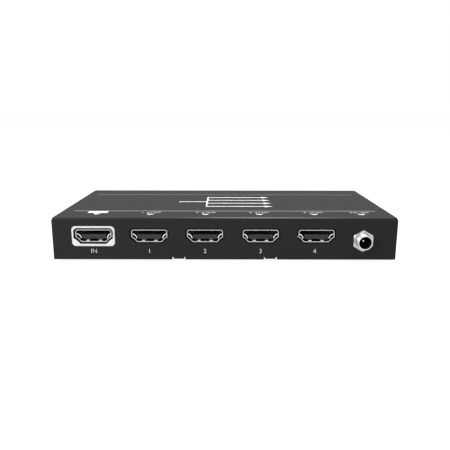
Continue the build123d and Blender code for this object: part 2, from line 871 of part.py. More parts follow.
# Can capacitors on square bases with two corners cut
with BuildPart() as filter_capacitors:
    with BuildSketch(Plane.XY.offset(board_top)) as base_outlines:
        with Locations(on_board(capacitor_across_share, capacitor_row_share)):
            with GridLocations(capacitor_pitch, capacitor_pitch, capacitor_count, 1):
                Rectangle(capacitor_base, capacitor_base)
        chamfer(base_outlines.vertices().group_by(Axis.Y)[-1], capacitor_base_cut)
    extrude(amount=capacitor_base_height)
    with BuildSketch(Plane.XY.offset(board_top + capacitor_base_height)):
        with Locations(on_board(capacitor_across_share, capacitor_row_share)):
            with GridLocations(capacitor_pitch, capacitor_pitch, capacitor_count, 1):
                Circle(capacitor_diameter / 2)
    extrude(amount=capacitor_height - capacitor_base_height)
filter_capacitors.part.label = "filter_capacitors"
export_step(filter_capacitors.part, "parts/filter_capacitors.step")

# Surge protectors, a pair behind each socket
protector_row = socket_rear + tail_reach + tail_foot + protector_behind_socket
with BuildPart() as surge_protectors:
    with BuildSketch(Plane.XY.offset(board_top)):
        with Locations(*[(place, protector_row) for place in port_places]):
            with GridLocations(protector_spacing, protector_width, 2, 1):
                Rectangle(protector_length, protector_width)
    extrude(amount=protector_height)
surge_protectors.part.label = "surge_protectors"
export_step(surge_protectors.part, "parts/surge_protectors.step")

# Lamps along the board's rear edge, and the light pipes that carry them out
with BuildPart() as status_lamps:
    with BuildSketch(Plane.XY.offset(board_top)):
        with Locations(*[(place, board_rear - lamp_depth / 2) for place in lamp_places]):
            Rectangle(lamp_width, lamp_depth)
    extrude(amount=lamp_height)
status_lamps.part.label = "status_lamps"
export_step(status_lamps.part, "parts/status_lamps.step")

pipe_start = board_rear + pipe_lamp_gap
with BuildPart() as light_pipes:
    with BuildSketch(facing_front(pipe_start)):
        with Locations(*[(place, lamp_level) for place in lamp_places]):
            Rectangle(pipe_width, pipe_height)
    extrude(amount=-(rear_face + pipe_proud - pipe_start))
light_pipes.part.label = "light_pipes"
export_step(light_pipes.part, "parts/light_pipes.step")

# Switch housing: a box with a track for the carriage and a slot for its knob
with BuildPart() as switch_housing:
    with BuildSketch(Plane.XY.offset(board_top)):
        with Locations((switch_place, switch_middle)):
            Rectangle(housing_length, housing_depth)
    extrude(amount=housing_height)
    with BuildSketch(Plane.XY.offset(board_top + switch_wall)):
        with Locations((switch_place, switch_middle)):
            Rectangle(housing_length - 2 * switch_wall, housing_depth - 2 * switch_wall)
    extrude(amount=housing_height - 2 * switch_wall, mode=Mode.SUBTRACT)
    with BuildSketch(facing_front(board_rear)):
        with Locations((switch_place, switch_level)):
            Rectangle(slot_length, slot_height)
    extrude(amount=switch_wall + slide_gap, mode=Mode.SUBTRACT)
switch_housing.part.label = "edid_switch_housing"
export_step(switch_housing.part, "parts/edid_switch_housing.step")

# Slider: the carriage in the track and its knob, which goes out through the rear flange
with BuildPart() as slider:
    with BuildSketch(facing_front(switch_middle + carriage_depth / 2)):
        with Locations((switch_place, switch_level)):
            Rectangle(carriage_length, carriage_height)
    extrude(amount=carriage_depth)
    with BuildSketch(facing_front(switch_middle)):
        with Locations((switch_place, switch_level)):
            Rectangle(knob_width, knob_height)
    extrude(amount=-(rear_face + knob_proud - switch_middle))
    chamfer(slider.faces().sort_by(Axis.Y)[-1].edges(), knob_chamfer)
slider.part.label = "edid_switch_slider"
export_step(slider.part, "parts/edid_switch_slider.step")
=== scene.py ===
import json
from math import atan2, cos, hypot, pi, radians, sin, tau

import bmesh
import bpy
from mathutils import Matrix, Vector


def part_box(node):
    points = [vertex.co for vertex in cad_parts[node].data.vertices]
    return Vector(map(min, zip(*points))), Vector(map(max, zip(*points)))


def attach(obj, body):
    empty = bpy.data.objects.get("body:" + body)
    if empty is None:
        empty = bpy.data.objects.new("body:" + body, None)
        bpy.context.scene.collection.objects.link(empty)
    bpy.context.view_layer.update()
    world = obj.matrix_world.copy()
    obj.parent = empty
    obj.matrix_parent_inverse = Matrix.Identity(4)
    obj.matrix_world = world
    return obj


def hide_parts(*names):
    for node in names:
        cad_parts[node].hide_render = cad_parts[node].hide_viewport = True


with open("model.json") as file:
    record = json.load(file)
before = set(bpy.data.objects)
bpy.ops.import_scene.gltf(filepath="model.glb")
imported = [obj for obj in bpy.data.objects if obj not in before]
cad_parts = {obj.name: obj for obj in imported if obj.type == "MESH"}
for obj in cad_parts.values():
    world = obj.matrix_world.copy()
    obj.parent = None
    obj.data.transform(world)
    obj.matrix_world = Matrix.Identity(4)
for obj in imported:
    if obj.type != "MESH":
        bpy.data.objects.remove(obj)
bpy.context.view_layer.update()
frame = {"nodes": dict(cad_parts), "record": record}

MM = 0.001
HOUSE = "splitter"
FLOAT, VECTOR = "NodeSocketFloat", "NodeSocketVector"

# Places read from the pieces that carry the new ones
cover_low, cover_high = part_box("top_cover")
front_face, top_face = cover_low.y, cover_high.z
sockets = [name.removesuffix("_shell") for name in frame["nodes"] if name.endswith("_shell")]
socket_boxes = {name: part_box(f"{name}_shell") for name in sockets}
sockets.sort(key=lambda name: socket_boxes[name][0].x)
socket_places = [(socket_boxes[name][0].x + socket_boxes[name][1].x) / 2 for name in sockets]
socket_rim = socket_boxes[sockets[0]][0].y
core_low, core_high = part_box(f"{sockets[0]}_core")
socket_level = (core_low.z + core_high.z) / 2
barrel_low, barrel_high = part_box("dc_jack_barrel")
jack_place = (barrel_low.x + barrel_high.x) / 2
jack_level = (barrel_low.z + barrel_high.z) / 2
pin_low, pin_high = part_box("dc_jack_pin")

# Socket opening and the hole round its shell
opening_width = 14.0 * MM
opening_height = 4.55 * MM
shoulder_width = 12.5 * MM
shoulder_height = 1.4 * MM
side_start = 1.93 * MM
keel_width = 9.7 * MM
opening_corner = 0.7 * MM
hole_growth = 1.03 * MM

# Tongue and contacts of a socket
tongue_thickness = 1.9 * MM
tongue_round = 0.4 * MM
contact_pitch = 1.0 * MM
contact_width = 0.4 * MM
nose_sheet = 0.15 * MM
upper_contacts = 10
lower_contacts = 9

# Barrel and pin of the power jack
bore_radius = 2.5 * MM
barrel_radius = 3.0 * MM
flange_radius = (barrel_high.x - barrel_low.x) / 2
flange_thickness = 0.8 * MM
thread_pitch = 0.5 * MM
thread_depth = 0.2 * MM
thread_steps = 48
rim_chamfer = 0.15 * MM
pin_radius = 0.825 * MM
tail_radius = 0.5 * MM
shoulder_depth = 8.6 * MM
dome_steps = 8
barrel_segments = 48
pin_segments = 32

# Print on the front; a thinning takes this share of the font's size off a stroke's edge
ink = 0.03 * MM
print_corner_segments = 8
surround_width = 17.4 * MM
surround_height = 8.3 * MM
surround_rise = -0.07 * MM
surround_corner = 1.6 * MM
label_words = ["IN", "1", "2", "3", "4"]
label_height = 1.75 * MM
label_rise = 3.6 * MM
label_shifts = [0.0, 0.0, 0.0, 0.0, -0.6 * MM]
label_thinnings = [0.014, 0.0, 0.0, 0.0, 0.0]

# Print on the top, with depths counted from the front face
line_length = 128.6 * MM
front_line_width = 1.3 * MM
front_line_depth = 13.05 * MM
rear_line_width = 0.8 * MM
rear_line_depth = 54.5 * MM
arrow_base = 9.0 * MM
arrow_tip = 5.0 * MM
arrow_width = 4.0 * MM
crescent_base = 9.0 * MM
crescent_tip = 5.4 * MM
crescent_width = 3.3 * MM
crescent_thickness = 1.3 * MM
crescent_steps = 12
mark_shifts = [0.0, -0.2 * MM, -0.05 * MM, -0.2 * MM, -0.1 * MM, 0.6 * MM]
tag_width = 8.3 * MM
tag_depth = 3.6 * MM
tag_shift = -0.13 * MM
tag_middle = 10.75 * MM
tag_corner = 0.2 * MM
small_words = ["IN", "OUT 1", "OUT 2", "OUT 3", "OUT 4", "DC IN"]
tag_letter_height = 2.1 * MM
small_letter_height = 2.0 * MM
small_letter_depth = 10.1 * MM

# Diagram in the middle of the top
diagram_left = -21.5 * MM
diagram_right = 21.5 * MM
diagram_front = 23.5 * MM
diagram_stem = 13.0 * MM
diagram_pitch = 7.6 * MM
diagram_stroke = 1.1 * MM
diagram_bus = 0.6 * MM
diagram_branches = 4
arrow_head = 3.6 * MM

# How far apart two vertices may be and still be merged, in a piece and in unscaled letters
piece_merge = 0.0005 * MM
letter_merge = 0.0001
letter_resolution = 6

# Places where a finish changes
paint_coat = 0.24
rubbed_coat = 0.88
bend_height = 0.44 * MM
bend_fade = 0.5 * MM
bend_gain = 3.0
spring_start = 0.3 * MM
spring_fade = 0.5 * MM
bore_shade_margin = 0.03 * MM
smudge_scale = 45.0
wear_scale = 900.0

# Copper of the board: lines in some regions, and plated holes
trace_width = 0.1 * MM
trace_run = 4.7 * MM
trace_pitch = 0.82 * MM
region_scale = 70.0
region_level = 0.47
via_scale = 330.0
via_size = 0.11

# Stage and lamps; a lamp has its place, its target, its two sizes and its power in watts
floor_half = 6.0
floor_grey = 0.3
floor_glow = 0.93
world_light = 0.2
world_seen = 0.8
lamps = {
    "key": ((-0.28, -0.24, 0.16), (-0.03, 0.0, 0.01), (0.3, 0.24), 1.09),
    "overhead": ((0.05, 0.0, 0.5), (0.0, 0.0, 0.01), (0.4, 0.1), 2.95),
    "fill": ((0.6, -0.35, 0.3), (0.0, 0.0, 0.01), (0.4, 0.4), 0.2),
}

# Camera, as the photograph was taken
camera_place = Vector((0.265 * MM, front_face - 197.4 * MM, 61.7 * MM))
camera_tilt = radians(90 - 13.11)
camera_yaw = radians(0.04)
camera_roll = radians(0.07)
focal_pixels = 502.0
image_pixels = 450.0
sensor_width = 36.0
nearest_seen = 0.01
farthest_seen = 50.0


def group_tree(name, inputs, outputs):
    """A shader group with these named inputs and outputs, and the sockets at its two ends."""
    tree = bpy.data.node_groups.new(name, "ShaderNodeTree")
    for title, kind in inputs.items():
        tree.interface.new_socket(title, in_out="INPUT", socket_type=kind)
    for title, kind in outputs.items():
        tree.interface.new_socket(title, in_out="OUTPUT", socket_type=kind)
    given = tree.nodes.new("NodeGroupInput").outputs
    made = tree.nodes.new("NodeGroupOutput").inputs
    return tree, given, made


def put(tree, kind, values=None, links=None, **settings):
    """A node with its settings, its socket values and what feeds its sockets."""
    node = tree.nodes.new(kind)
    for key, value in settings.items():
        setattr(node, key, value)
    for key, value in (values or {}).items():
        node.inputs[key].default_value = value
    for key, source in (links or {}).items():
        tree.links.new(source, node.inputs[key])
    return node


def arithmetic(tree, operation, *terms):
    """The output of a Math node on these terms, each a number or a socket."""
    node = tree.nodes.new("ShaderNodeMath")
    node.operation = operation
    for socket, term in zip(node.inputs, terms):
        if isinstance(term, (int, float)):
            socket.default_value = term
        else:
            tree.links.new(term, socket)
    return node.outputs[0]


def rise_between(tree, position, start, fade):
    """A mask that is 0 up to the start and rises to 1 over the fade."""
    passed = arithmetic(tree, "SUBTRACT", position, start)
    share = arithmetic(tree, "DIVIDE", passed, fade)
    share = arithmetic(tree, "MAXIMUM", share, 0.0)
    return arithmetic(tree, "MINIMUM", share, 1.0)


def shade_and_lift(tree, pattern, given, made):
    """Lets a pattern shade the colour by the group's spread and lift its normal by its depth."""
    swing = arithmetic(tree, "SUBTRACT", pattern, 0.5)
    shade = arithmetic(tree, "MULTIPLY_ADD", swing, given["Spread"], 1.0)
    lift = put(
        tree,
        "ShaderNodeBump",
        {"Strength": 1.0},
        {"Height": pattern, "Distance": given["Depth"], "Normal": given["Normal"]},
    )
    tree.links.new(shade, made["Shade"])
    tree.links.new(lift.outputs["Normal"], made["Normal"])


def surface_grain():
    """Effect: a fine grain that shades the colour a little and lifts the surface."""
    tree, given, made = group_tree(
        "surface_grain",
        {"Place": VECTOR, "Normal": VECTOR, "Scale": FLOAT, "Spread": FLOAT, "Depth": FLOAT},
        {"Shade": FLOAT, "Normal": VECTOR},
    )
    grain = put(
        tree,
        "ShaderNodeTexNoise",
        {"Detail": 3.0, "Roughness": 0.6},
        {"Vector": given["Place"], "Scale": given["Scale"]},
    )
    shade_and_lift(tree, grain.outputs["Fac"], given, made)
    return tree


def drawn_lines():
    """Effect: straight brush or drawing lines along one axis."""
    tree, given, made = group_tree(
        "drawn_lines",
        {"Place": VECTOR, "Stretch": VECTOR, "Normal": VECTOR, "Spread": FLOAT, "Depth": FLOAT},
        {"Shade": FLOAT, "Normal": VECTOR},
    )
    stretched = put(
        tree,
        "ShaderNodeVectorMath",
        None,
        {0: given["Place"], 1: given["Stretch"]},
        operation="MULTIPLY",
    )
    streaks = put(
        tree,
        "ShaderNodeTexNoise",
        {"Scale": 1.0, "Detail": 4.0, "Roughness": 0.7},
        {"Vector": stretched.outputs["Vector"]},
    )
    shade_and_lift(tree, streaks.outputs["Fac"], given, made)
    return tree


def handling_smudges():
    """Effect: broad, faint handling marks that change the gloss."""
    tree, given, made = group_tree(
        "handling_smudges",
        {"Place": VECTOR, "Scale": FLOAT, "Gloss": FLOAT, "Spread": FLOAT},
        {"Roughness": FLOAT},
    )
    smudge = put(
        tree,
        "ShaderNodeTexNoise",
        {"Detail": 5.0, "Roughness": 0.55, "Distortion": 0.6},
        {"Vector": given["Place"], "Scale": given["Scale"]},
    )
    swing = arithmetic(tree, "SUBTRACT", smudge.outputs["Fac"], 0.5)
    gloss = arithmetic(tree, "MULTIPLY_ADD", swing, given["Spread"], given["Gloss"])
    tree.links.new(gloss, made["Roughness"])
    return tree


def soft_edges():
    """Effect: softened edges, and a mask of where they lie, broken up as handling breaks it."""
    tree, given, made = group_tree(
        "soft_edges",
        {"Place": VECTOR, "Radius": FLOAT, "Amount": FLOAT},
        {"Normal": VECTOR, "Edge": FLOAT},
    )
    rounding = put(tree, "ShaderNodeBevel", None, {"Radius": given["Radius"]}, samples=6)
    facing = put(tree, "ShaderNodeNewGeometry")
    likeness = put(
        tree,
        "ShaderNodeVectorMath",
        None,
        {0: rounding.outputs["Normal"], 1: facing.outputs["Normal"]},
        operation="DOT_PRODUCT",
    )
    turned = arithmetic(tree, "SUBTRACT", 1.0, likeness.outputs["Value"])
    patches = put(
        tree,
        "ShaderNodeTexNoise",
        {"Scale": wear_scale, "Detail": 3.0},
        {"Vector": given["Place"]},
    )
    worn = arithmetic(tree, "MULTIPLY", turned, patches.outputs["Fac"])
    worn = arithmetic(tree, "MULTIPLY", worn, given["Amount"])
    worn = arithmetic(tree, "MINIMUM", worn, 1.0)
    tree.links.new(rounding.outputs["Normal"], made["Normal"])
    tree.links.new(worn, made["Edge"])
    return tree


def rubbed_bends():
    """Effect: where a folded sheet bends along X, above a height, as its slanting surface shows."""
    tree, given, made = group_tree(
        "rubbed_bends",
        {"Place": VECTOR, "Normal": VECTOR, "Lowest": FLOAT, "Fade": FLOAT},
        {"Mask": FLOAT},
    )
    normal = put(tree, "ShaderNodeSeparateXYZ", None, {0: given["Normal"]}).outputs
    slant = arithmetic(tree, "MULTIPLY", normal["Y"], normal["Z"])
    slant = arithmetic(tree, "ABSOLUTE", slant)
    slant = arithmetic(tree, "MULTIPLY", slant, bend_gain)
    slant = arithmetic(tree, "MINIMUM", slant, 1.0)
    height = put(tree, "ShaderNodeSeparateXYZ", None, {0: given["Place"]}).outputs["Z"]
    above = rise_between(tree, height, given["Lowest"], given["Fade"])
    tree.links.new(arithmetic(tree, "MULTIPLY", slant, above), made["Mask"])
    return tree


def inside_opening():
    """Effect: how far a place lies inside an opening, none at the rim and full past the fade."""
    tree, given, made = group_tree(
        "inside_opening",
        {"Place": VECTOR, "Rim": FLOAT, "Fade": FLOAT},
        {"Mask": FLOAT},
    )
    depth = put(tree, "ShaderNodeSeparateXYZ", None, {0: given["Place"]}).outputs["Y"]
    tree.links.new(rise_between(tree, depth, given["Rim"], given["Fade"]), made["Mask"])
    return tree


grain_group = surface_grain()
line_group = drawn_lines()
smudge_group = handling_smudges()
edge_group = soft_edges()
bend_group = rubbed_bends()
inside_group = inside_opening()


def use_group(tree, group, values=None, links=None):
    """The outputs of this effect, placed in a material."""
    return put(tree, "ShaderNodeGroup", values, links, node_tree=group).outputs


def vector_step(tree, operation, vector, other=None):
    """A Vector Math node on a vector, with a fixed second vector where one is given."""
    values = {1: other} if other else None
    return put(tree, "ShaderNodeVectorMath", values, {0: vector}, operation=operation).outputs


def recolour(tree, mask, colour):
    """Mixes a colour over the material's own where the mask says."""
    target = tree.nodes["Principled BSDF"].inputs["Base Color"]
    mix = put(
        tree,
        "ShaderNodeMix",
        {"B": (*colour, 1.0)},
        {"Factor": mask, "A": target.links[0].from_socket},
        data_type="RGBA",
    )
    tree.links.new(mix.outputs["Result"], target)


def finish(
    name,
    colour,
    roughness,
    metallic=0.0,
    specular=0.5,
    grain_scale=2500.0,
    grain_spread=0.15,
    grain_depth=0.004 * MM,
    smudge_spread=0.12,
    edge_colour=None,
    edge_radius=0.08 * MM,
    edge_amount=3.0,
    stretch=None,
    transmission=0.0,
    coat=0.0,
    coat_roughness=0.2,
):
    """A finish with grain or drawn lines, handling smudges and softened edges."""
    material = bpy.data.materials.new(name)
    material.use_nodes = True
    tree = material.node_tree
    shader = tree.nodes["Principled BSDF"]
    shader.inputs["Metallic"].default_value = metallic
    shader.inputs["Specular IOR Level"].default_value = specular
    shader.inputs["Transmission Weight"].default_value = transmission
    shader.inputs["Coat Weight"].default_value = coat
    shader.inputs["Coat Roughness"].default_value = coat_roughness
    place = put(tree, "ShaderNodeTexCoord").outputs["Object"]
    edges = use_group(
        tree, edge_group, {"Radius": edge_radius, "Amount": edge_amount}, {"Place": place}
    )
    pattern = {"Spread": grain_spread, "Depth": grain_depth}
    if stretch:
        pattern["Stretch"] = stretch
    else:
        pattern["Scale"] = grain_scale
    surface = use_group(
        tree,
        line_group if stretch else grain_group,
        pattern,
        {"Place": place, "Normal": edges["Normal"]},
    )
    smudges = use_group(
        tree,
        smudge_group,
        {"Scale": smudge_scale, "Gloss": roughness, "Spread": smudge_spread},
        {"Place": place},
    )
    shaded = put(
        tree,
        "ShaderNodeVectorMath",
        {0: colour},
        {"Scale": surface["Shade"]},
        operation="SCALE",
    )
    tree.links.new(shaded.outputs["Vector"], shader.inputs["Base Color"])
    if edge_colour:
        recolour(tree, edges["Edge"], edge_colour)
    tree.links.new(smudges["Roughness"], shader.inputs["Roughness"])
    tree.links.new(surface["Normal"], shader.inputs["Normal"])
    return material


def rub_bends(material, coat, glossier_coat, lowest):
    """Makes the coat of a paint glossier on the bends above this height, where hands rub it."""
    tree = material.node_tree
    coordinates = put(tree, "ShaderNodeTexCoord").outputs
    bends = use_group(
        tree,
        bend_group,
        {"Lowest": lowest, "Fade": bend_fade},
        {"Place": coordinates["Object"], "Normal": coordinates["Normal"]},
    )
    weight = arithmetic(tree, "MULTIPLY_ADD", bends["Mask"], glossier_coat - coat, coat)
    tree.links.new(weight, tree.nodes["Principled BSDF"].inputs["Coat Weight"])


def rub_and_light_springs(material, lit_rubbed_colour, rubbed_roughness, rim):
    """Makes a sheet smoother inside an opening, where plugs rub its springs, and brighter there as a
    painted highlight on the springs.
    """
    tree = material.node_tree
    place = put(tree, "ShaderNodeTexCoord").outputs["Object"]
    inside = use_group(
        tree, inside_group, {"Rim": rim, "Fade": spring_fade}, {"Place": place}
    )["Mask"]
    recolour(tree, inside, lit_rubbed_colour)
    target = tree.nodes["Principled BSDF"].inputs["Roughness"]
    plain = target.links[0].from_socket
    smoother = arithmetic(tree, "SUBTRACT", rubbed_roughness, plain)
    smoother = arithmetic(tree, "MULTIPLY_ADD", smoother, inside, plain)
    tree.links.new(smoother, target)


def shade_bore(material, centre, radius, colour):
    """Paints the wall of a bore along Y near black and dull, as painted shade in the deep bore."""
    tree = material.node_tree
    place = put(tree, "ShaderNodeTexCoord").outputs["Object"]
    offset = vector_step(tree, "SUBTRACT", place, (centre[0], 0, centre[1]))["Vector"]
    across = vector_step(tree, "MULTIPLY", offset, (1, 0, 1))["Vector"]
    reach = vector_step(tree, "LENGTH", across)["Value"]
    in_bore = arithmetic(tree, "LESS_THAN", reach, radius)
    recolour(tree, in_bore, colour)
    outside_bore = arithmetic(tree, "SUBTRACT", 1.0, in_bore)
    tree.links.new(outside_bore, tree.nodes["Principled BSDF"].inputs["Metallic"])


def board_laminate(name, mask_colour, trace_colour):
    """Green solder mask over copper lines, with rows of plated through holes."""
    material = finish(name, mask_colour, 0.32, grain_scale=900.0, grain_spread=0.2, coat=0.2)
    tree = material.node_tree
    place = put(tree, "ShaderNodeTexCoord").outputs["Object"]
    lanes = put(
        tree,
        "ShaderNodeTexBrick",
        {
            "Scale": 1.0,
            "Mortar Size": trace_width,
            "Mortar Smooth": 0.0,
            "Brick Width": trace_run,
            "Row Height": trace_pitch,
            "Color1": (0, 0, 0, 1),
            "Color2": (0, 0, 0, 1),
            "Mortar": (1, 1, 1, 1),
        },
        {"Vector": place},
        offset=0.5,
    )
    regions = put(
        tree, "ShaderNodeTexNoise", {"Scale": region_scale, "Detail": 1.0}, {"Vector": place}
    )
    routed = arithmetic(tree, "GREATER_THAN", regions.outputs["Fac"], region_level)
    lines = arithmetic(tree, "MULTIPLY", lanes.outputs["Fac"], routed)
    dots = put(
        tree, "ShaderNodeTexVoronoi", {"Scale": via_scale, "Randomness": 0.75}, {"Vector": place}
    )
    holes = arithmetic(tree, "LESS_THAN", dots.outputs["Distance"], via_size)
    recolour(tree, arithmetic(tree, "MAXIMUM", lines, holes), trace_colour)
    return material


# Finishes of the solids, one for each slot of the record
finishes = {
    "black_paint": finish(
        "black_paint",
        (0.0196, 0.0196, 0.0202),
        0.62,
        specular=0.0,
        coat=paint_coat,
        coat_roughness=0.32,
        grain_scale=5200.0,
        grain_spread=0.5,
        grain_depth=0.012 * MM,
        smudge_spread=0.1,
        edge_colour=(0.06, 0.06, 0.06),
        edge_radius=0.12 * MM,
        edge_amount=1.2,
    ),
    "black_screw": finish(
        "black_screw", (0.035, 0.035, 0.037), 0.38, metallic=1.0, edge_colour=(0.2, 0.2, 0.2)
    ),
    "foot_rubber": finish(
        "foot_rubber",
        (0.014, 0.014, 0.0145),
        0.85,
        specular=0.25,
        grain_scale=1800.0,
        grain_depth=0.01 * MM,
    ),
    "pillar_brass": finish(
        "pillar_brass", (0.62, 0.43, 0.17), 0.28, metallic=1.0, stretch=(120.0, 120.0, 9000.0)
    ),
    "circuit_board": board_laminate("circuit_board", (0.004, 0.026, 0.013), (0.012, 0.058, 0.03)),
    "plated_steel": finish(
        "plated_steel", (0.58, 0.58, 0.57), 0.32, metallic=1.0, grain_scale=1600.0, grain_spread=0.2
    ),
    "bright_nickel": finish(
        "bright_nickel",
        (0.46, 0.46, 0.455),
        0.38,
        metallic=1.0,
        grain_spread=0.08,
        edge_radius=0.1 * MM,
    ),
    "socket_nickel": finish(
        "socket_nickel",
        (0.47, 0.45, 0.44),
        0.32,
        metallic=1.0,
        grain_spread=0.16,
        stretch=(3500.0, 160.0, 3500.0),
        grain_depth=0.002 * MM,
        edge_radius=0.06 * MM,
    ),
    # The contacts are dark grey instead of gold: painted shade for contacts deep in the sockets
    "contact_gold": finish(
        "contact_gold", (0.11, 0.105, 0.098), 0.4, metallic=1.0, stretch=(4000.0, 300.0, 4000.0)
    ),
    "black_moulding": finish(
        "black_moulding", (0.009, 0.009, 0.0095), 0.4, specular=0.4, grain_scale=2200.0
    ),
    "chip_epoxy": finish(
        "chip_epoxy", (0.018, 0.018, 0.019), 0.68, grain_scale=4200.0, grain_depth=0.01 * MM
    ),
    "thermal_rubber": finish("thermal_rubber", (0.32, 0.38, 0.46), 0.8, grain_scale=2600.0),
    "sink_aluminium": finish(
        "sink_aluminium", (0.66, 0.665, 0.67), 0.36, metallic=1.0, stretch=(2600.0, 140.0, 2600.0)
    ),
    "ferrite": finish("ferrite", (0.05, 0.05, 0.052), 0.62, grain_scale=1500.0, grain_spread=0.4),
    "lamp_plastic": finish("lamp_plastic", (0.82, 0.83, 0.78), 0.24, grain_spread=0.04, coat=0.3),
    "clear_plastic": finish(
        "clear_plastic", (0.8, 0.83, 0.82), 0.3, grain_spread=0.05, transmission=0.45
    ),
}
rub_bends(finishes["black_paint"], paint_coat, rubbed_coat, top_face - bend_height)
# Inside the sockets the nickel is smoother from rubbing and brighter as a painted highlight on the
# springs
rub_and_light_springs(finishes["socket_nickel"], (0.86, 0.85, 0.83), 0.16, socket_rim + spring_start)

for subpart in frame["record"]["subparts"]:
    mesh = frame["nodes"][subpart["node"]].data
    mesh.materials.clear()
    mesh.materials.append(finishes[subpart["material_slot"]])

# Finishes of the new pieces
white_ink = finish("white_ink", (0.93, 0.93, 0.925), 0.55, grain_scale=6500.0, grain_spread=0.04)
grey_ink = finish("grey_ink", (0.175, 0.155, 0.15), 0.6, grain_scale=6500.0, grain_spread=0.1)
pale_ink = finish("pale_ink", (0.6, 0.57, 0.56), 0.6, grain_scale=6500.0, grain_spread=0.1)
dark_ink = finish("dark_ink", (0.03, 0.03, 0.031), 0.6, grain_scale=6500.0)
pin_nickel = finish(
    "pin_nickel", (0.75, 0.75, 0.74), 0.1, metallic=1.0, grain_spread=0.05, smudge_spread=0.05
)
bore_shaded_nickel = finish(
    "bore_shaded_nickel",
    (0.54, 0.54, 0.53),
    0.4,
    metallic=1.0,
    grain_spread=0.08,
    edge_radius=0.1 * MM,
)
# The bore's wall is painted near black: painted shade in the deep bore
shade_bore(
    bore_shaded_nickel, (jack_place, jack_level), bore_radius + bore_shade_margin, (0.012, 0.012, 0.0125)
)


def piece(name, shape, material, smooth=False):
    """A piece made from this bmesh, which rides on the splitter's body."""
    bmesh.ops.remove_doubles(shape, verts=shape.verts, dist=piece_merge)
    bmesh.ops.recalc_face_normals(shape, faces=shape.faces)
    mesh = bpy.data.meshes.new(name)
    shape.to_mesh(mesh)
    shape.free()
    mesh.materials.append(material)
    if smooth:
        mesh.shade_smooth()
    else:
        mesh.shade_flat()
    made = bpy.data.objects.new(name, mesh)
    bpy.context.scene.collection.objects.link(made)
    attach(made, HOUSE)
    return made


def push(shape, faces, way):
    """Extrudes flat faces this way into a layer or a bar."""
    pushed = bmesh.ops.extrude_face_region(shape, geom=faces)
    verts = [item for item in pushed["geom"] if isinstance(item, bmesh.types.BMVert)]
    bmesh.ops.translate(shape, verts=verts, vec=way)


# Places of a flat print: drawn with X to the right and Y up, then set on a face
on_front = Matrix.Translation((0, front_face, 0)) @ Matrix.Rotation(pi / 2, 4, "X")
on_top = Matrix.Translation((0, 0, top_face))
read_from_rear = Matrix.Rotation(pi, 4, "Z")


def printed(name, shape, place, material):
    """A flat drawing made a thin layer of ink on a face."""
    push(shape, shape.faces[:], (0, 0, ink))
    bmesh.ops.transform(shape, matrix=place, verts=shape.verts)
    piece(name, shape, material)


def polygon(shape, points):
    """A flat face through these points."""
    return shape.faces.new([shape.verts.new((x, y, 0)) for x, y in points])


def round_corners(shape, corners, radius):
    """Rounds these corners of a flat face."""
    bmesh.ops.bevel(
        shape,
        geom=corners,
        offset=radius,
        segments=print_corner_segments,
        profile=0.5,
        affect="VERTICES",
        material=-1,
    )


def rectangle(shape, width, height, centre):
    """A flat rectangle."""
    x, y = centre
    across, up = width / 2, height / 2
    corners = [(x - across, y - up), (x + across, y - up), (x + across, y + up), (x - across, y + up)]
    return polygon(shape, corners)


def rounded_rectangle(shape, width, height, corner, centre):
    """A flat rectangle with rounded corners."""
    face = rectangle(shape, width, height, centre)
    round_corners(shape, face.verts[:], corner)


def socket_hole(shape, across, level):
    """The outline of the hole round a socket's shell, as loose edges."""
    floor = -opening_height / 2
    half = [
        (keel_width / 2, floor),
        (shoulder_width / 2, floor + shoulder_height),
        (opening_width / 2, floor + side_start),
        (opening_width / 2, -floor),
    ]
    points = half + [(-x, y) for x, y in reversed(half)]
    face = polygon(shape, [(across + x, level + y) for x, y in points])
    top = [vert for vert in face.verts if vert.co.y > level + side_start]
    round_corners(shape, top, opening_corner)
    ring = bmesh.ops.inset_region(
        shape,
        faces=shape.faces[:],
        thickness=-hole_growth,
        use_even_offset=True,
        use_boundary=True,
    )
    bmesh.ops.delete(shape, geom=ring["faces"], context="FACES")


def lettering(words, height, centre, level=0.0, thinning=0.0):
    """Plain letters as a flat bmesh, scaled to this height and centred here."""
    curve = bpy.data.curves.new("letters", "FONT")
    curve.body = words
    curve.offset = -thinning
    curve.align_x = "CENTER"
    curve.resolution_u = letter_resolution
    holder = bpy.data.objects.new("letters", curve)
    bpy.context.scene.collection.objects.link(holder)
    bpy.context.view_layer.update()
    drawn = holder.evaluated_get(bpy.context.evaluated_depsgraph_get())
    flat = bpy.data.meshes.new_from_object(drawn)
    shape = bmesh.new()
    shape.from_mesh(flat)
    bpy.data.objects.remove(holder)
    bpy.data.meshes.remove(flat)
    bpy.data.curves.remove(curve)
    bmesh.ops.remove_doubles(shape, verts=shape.verts, dist=letter_merge)
    rows = [vert.co.y for vert in shape.verts]
    columns = [vert.co.x for vert in shape.verts]
    scale = height / (max(rows) - min(rows))
    middle = Vector(((max(columns) + min(columns)) / 2, (max(rows) + min(rows)) / 2, 0))
    bmesh.ops.translate(shape, verts=shape.verts, vec=-middle)
    bmesh.ops.scale(shape, verts=shape.verts, vec=(scale, scale, 1))
    bmesh.ops.translate(shape, verts=shape.verts, vec=(*centre, level))
    return shape


# White surround of the input socket, with the socket's hole left open
surround = bmesh.new()
socket_hole(surround, socket_places[0], socket_level)
surround_centre = (socket_places[0], socket_level + surround_rise)
rounded_rectangle(surround, surround_width, surround_height, surround_corner, surround_centre)
bmesh.ops.delete(surround, geom=surround.faces[:], context="FACES_ONLY")
loose = [edge for edge in surround.edges if not edge.link_faces]
bmesh.ops.triangle_fill(surround, edges=loose, use_beauty=True, use_dissolve=False)
printed("input_surround", surround, on_front, white_ink)

